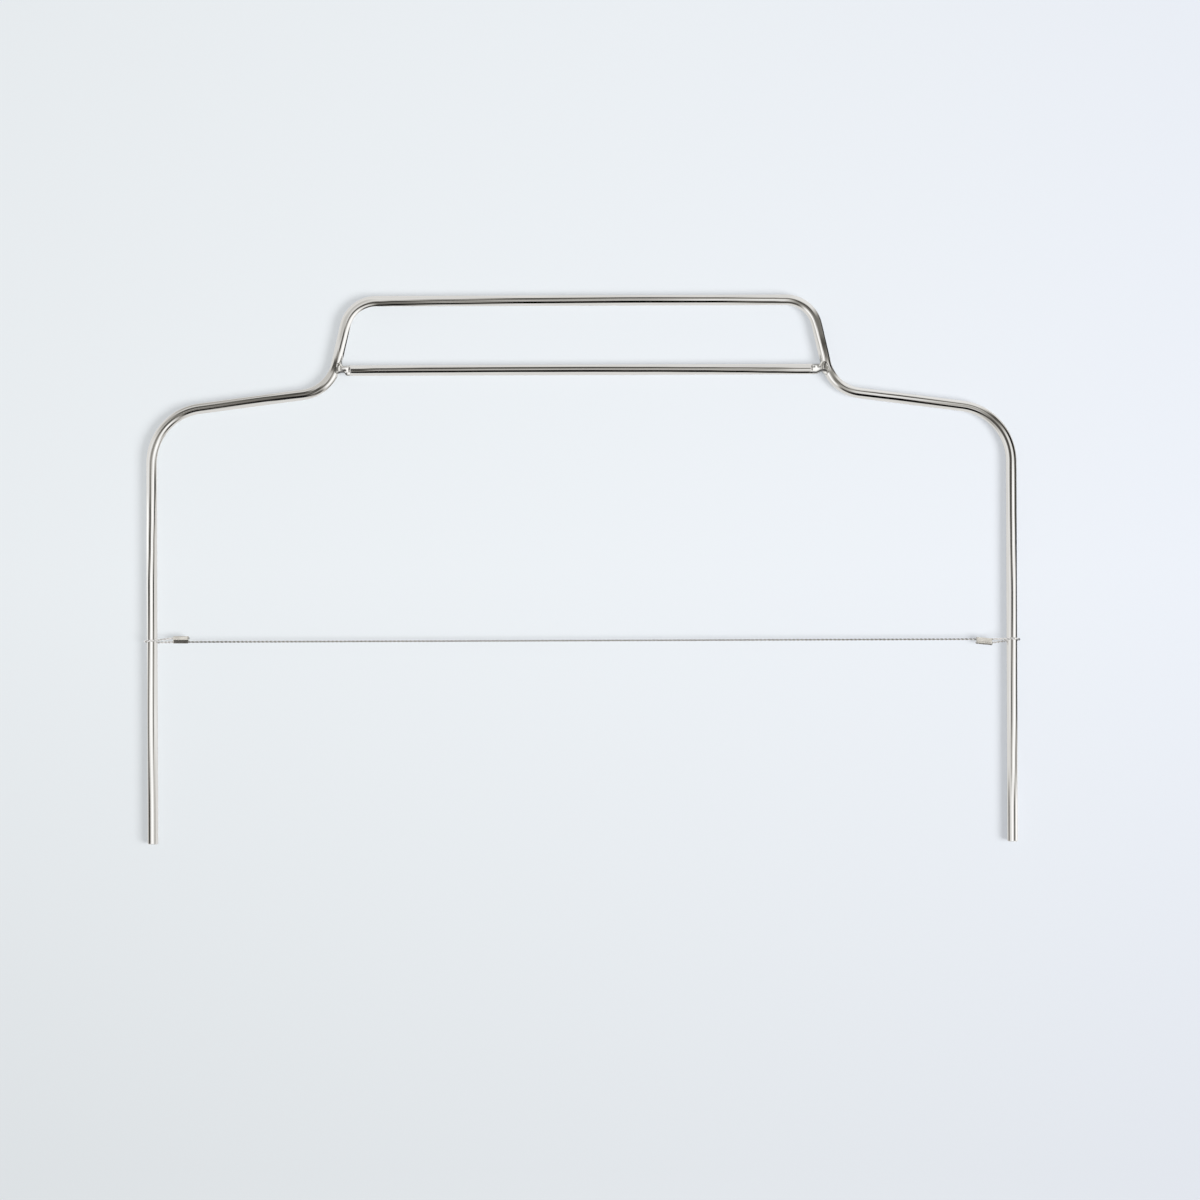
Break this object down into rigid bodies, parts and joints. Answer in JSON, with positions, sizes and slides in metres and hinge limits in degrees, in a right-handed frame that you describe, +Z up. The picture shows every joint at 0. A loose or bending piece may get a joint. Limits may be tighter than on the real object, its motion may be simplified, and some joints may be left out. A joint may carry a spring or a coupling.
{
  "type": "cake leveler",
  "caption": "Bent rod frame with a welded grip bar and a taut twisted cutting wire, looped round both legs, that slides to the height at which a cake is sliced level.",
  "frame": {"origin": "under the middle of the outline, on the surface that the leveler lies on", "axes": "+X along the cutting wire, +Y from the leg ends towards the handle, +Z up off the surface"},
  "size_m": [0.3322, 0.2077, 0.0062],
  "materials": {
    "stainless_rod": "bright drawn stainless rod",
    "weld": "pressed weld nugget, polished",
    "wire": "twisted stainless wire",
    "ferrule": "crimped, matt"
  },
  "bodies": {
    "frame": {"frame_rod": "stainless_rod", "grip_bar": "stainless_rod", "weld_left": "weld", "weld_right": "weld"},
    "left_loop": {"loop_left": "wire"},
    "wire": {"ferrule_left": "ferrule", "tail_left": "wire", "cutting_wire": "wire", "ferrule_right": "ferrule", "tail_right": "wire", "loop_right": "wire"}
  },
  "joints": [
    {"name": "wire_height", "type": "slide", "parent": "frame", "child": "left_loop", "axis": [0, 1, 0], "range_m": [-0.06, 0.054]},
    {"name": "wire_tilt", "type": "hinge", "parent": "left_loop", "child": "wire", "pos_m": [-0.1553, -0.02645, 0.0031], "axis": [0, 0, 1], "range_deg": [-1.8, 1.8]}
  ]
}
